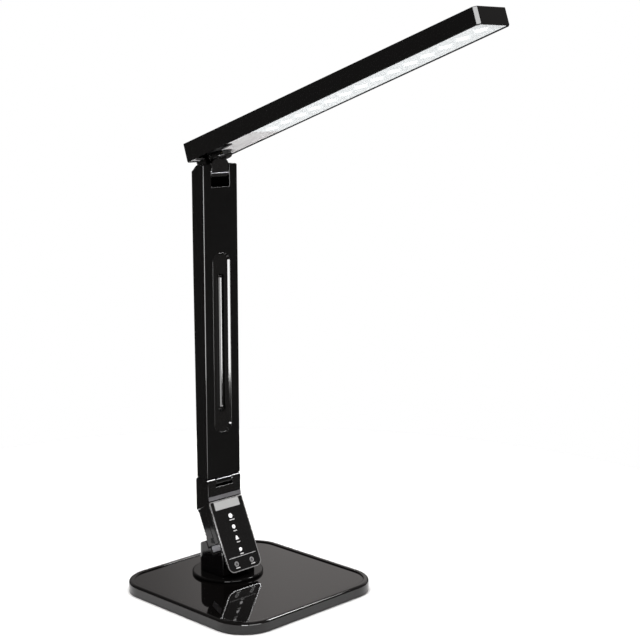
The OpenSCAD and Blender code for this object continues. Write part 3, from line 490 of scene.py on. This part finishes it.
def recess_bead():
    """Fine rounded lip round the recess in the arm."""
    half_width, half_height, corner, lip = 0.0106, 0.0851, 0.0077, 0.0003
    above_pin = 0.1330
    middle = FOLD_PIN.z + above_pin
    corner_steps, lip_steps, lip_start, lip_turn = 12, 8, -20, 220
    path = []
    for side, end, start in ((1, 1, 0), (-1, 1, 90), (-1, -1, 180), (1, -1, 270)):
        centre = side * (half_width - corner), middle + end * (half_height - corner)
        path += [(centre, way) for way in arc(0, 0, 1, start, start + 90, corner_steps)]
    bm = bmesh.new()
    rings = []
    for out, rise in arc(corner, 0, lip, lip_start, lip_start + lip_turn, lip_steps):
        ring = [(x + out * dx, ARM_LOW.y - rise, z + out * dz) for (x, z), (dx, dz) in path]
        rings.append([bm.verts.new(point) for point in ring])
    skin(bm, rings, closed=True)
    trim_piece("recess_bead", bm, "arm", "arm_gloss", sharp_from=60)


recess_bead()
COLLAR_LINE = (0.03272, 0.08300), (0.03336, 0.08660)
TILT_LINE = in_front(TILT_PIN, depth=0.004794, low=-0.00038, high=0.00042)
FOLD_LINE = in_front(FOLD_PIN, depth=0.003994, low=0.00217, high=0.00317)
# Silver pieces that stand for light: the collar strip is a painted reflection, the two beads are painted
# highlights on the hinge barrels
strip("collar_reflection_strip", "stem", half=0.0202, line=COLLAR_LINE, swell=0.00012)
strip("tilt_highlight_bead", "knuckle", half=0.0100, line=TILT_LINE, swell=0.00025)
strip("fold_highlight_bead", "arm", half=0.0094, line=FOLD_LINE, swell=0.00038)


# Stage: pale floor, soft lights, white surround

def floor_ring(name, inner, outer, material, glossy):
    bm = bmesh.new()
    rings = [[bm.verts.new((x, y, 0)) for x, y in arc(0, 0, radius, steps=96)] for radius in (outer, inner)]
    skin(bm, rings)
    obj = mesh_object(name, bm, material)
    obj.visible_glossy = glossy
    return obj


def floor():
    """Pale paper under the lamp. Past it the floor is plain white, and clear when seen from below."""
    hole, near, far, horizon = 0.002, 0.21, 0.62, 3.0
    paper = Material("floor_paper")
    paper.set({"Base Color": paper.tint(paper.noise(300, 4), grey(0.9), grey(0.93))})
    paper.set({"Roughness": 0.9, "Specular IOR Level": 0.1})
    edge = Material("floor_edge")
    white = edge.node("Emission", {}).outputs["Emission"]
    clear = edge.node("BsdfTransparent", {}).outputs["BSDF"]
    below = edge.node("NewGeometry", {}).outputs["Backfacing"]
    either = edge.node("MixShader", {"Fac": below, 1: white, 2: clear}).outputs["Shader"]
    edge.feed(edge.nodes["Material Output"].inputs["Surface"], either)
    floor_ring("floor_near", hole, near, "floor_paper", True)
    floor_ring("floor_far", near, far, "floor_paper", False)
    rest = floor_ring("floor_edge", far, horizon, "floor_edge", False)
    rest.visible_diffuse = False
    rest.visible_shadow = False


def area(name, location, target, size, power, diffuse=True, glossy=True):
    light = bpy.data.lights.new(name, "AREA")
    light.shape = "RECTANGLE"
    light.size, light.size_y = size
    light.energy = power
    obj = place(name, light)
    obj.location = location
    obj.rotation_euler = (Vector(target) - Vector(location)).to_track_quat("-Z", "Y").to_euler()
    obj.visible_glossy = glossy
    obj.visible_diffuse = diffuse
    return obj


def link_light(light, obj, state):
    """INCLUDE: the light shines on this object alone. EXCLUDE: it leaves this object out."""
    group = bpy.data.collections.new(light.name + "_link")
    group.objects.link(obj)
    group.collection_objects[0].light_linking.link_state = state
    light.light_linking.receiver_collection = group


def lights():
    """One soft light from above, and four that are seen in reflections only."""
    area("overhead", (0.0, 0.0, 1.7), (0, 0, 0), (1.6, 1.6), 42, glossy=False)
    high = area("key_high", (-0.84, -1.34, 1.24), (0.0, -0.28, 0.52), (0.44, 0.44), 8.5, diffuse=False)
    link_light(high, head, "INCLUDE")
    low = area("key_low", (-1.08, -1.15, 0.08), (0.02, -0.05, 0.08), (0.50, 0.44), 16, diffuse=False)
    wrap = area("key_wrap", (-0.35, -1.48, 0.06), (0.0, 0.0, 0.06), (0.95, 0.80), 16, diffuse=False)
    rim = area("rim_right", (1.04, -0.67, 1.26), (0.0, 0.03, 0.28), (0.30, 0.30), 12, diffuse=False)
    for light in (low, wrap, rim):
        link_light(light, head, "EXCLUDE")


def surround():
    """White for the camera. Reflections see a dim studio with a bright band high up behind the lamp."""
    right, rear, up = (0.7026, -0.7115, 0), (0.7115, 0.7026, 0), (0, 0, 1)
    even_level, warm_white, white = 0.40, (1.0, 0.95, 0.93, 1), (1, 1, 1, 1)
    world = bpy.data.worlds.new("surround")
    bpy.context.scene.world = world
    world.use_nodes = True
    tree = Shader(world.node_tree)
    tree.nodes.clear()
    direction = tree.coordinate("Generated")

    def along(axis, start, end, low, high):
        """Soft step from low to high as the direction's part along the axis goes from start to end."""
        part = tree.node("VectorMath", {0: direction, 1: axis}, operation="DOT_PRODUCT").outputs["Value"]
        step = {"Value": part, "From Min": start, "From Max": end, "To Min": low, "To Max": high}
        return tree.node("MapRange", step, interpolation_type="SMOOTHSTEP").outputs["Result"]

    def mixed(factor, a, b, **settings):
        return tree.node("Mix", {"Factor": factor, "A": a, "B": b}, **settings).outputs["Result"]

    dim = tree.math("MULTIPLY", along(right, -0.7, 0.5, 0.11, 0.21), along(rear, 0.55, 0.9, 1.0, 0.12))
    band = tree.math("MULTIPLY", along(up, 0.16, 0.30, 0.0, 1.0), along(rear, 0.45, 0.75, 0.0, 1.0))
    studio = mixed(band, dim, along(right, -0.14, -0.02, 0.30, 0.66))
    ray = tree.node("LightPath", {}).outputs
    level = mixed(ray["Is Glossy Ray"], even_level, studio)
    warm = mixed(1.0, warm_white, level, data_type="RGBA", blend_type="MULTIPLY")
    seen = mixed(ray["Is Camera Ray"], warm, white, data_type="RGBA")
    back = tree.node("Background", {"Color": seen, "Strength": 1.0})
    tree.node("OutputWorld", {"Surface": back.outputs["Background"]})


def camera():
    """The photograph's camera. Its focal length was solved in pixels of the 640-pixel frame."""
    focal_pixels, frame_pixels, sensor = 1405, 640, 36
    pitch, heading = 9.65, 45.36
    data = bpy.data.cameras.new("camera")
    data.sensor_width = sensor
    data.lens = focal_pixels / frame_pixels * sensor
    obj = place("camera", data)
    obj.location = (-0.8578, -0.9417, 0.4751)
    obj.rotation_euler = (math.radians(90 - pitch), 0, math.radians(-heading))
    bpy.context.scene.camera = obj


floor()
lights()
surround()
camera()
bpy.context.scene.view_settings.view_transform = "Standard"
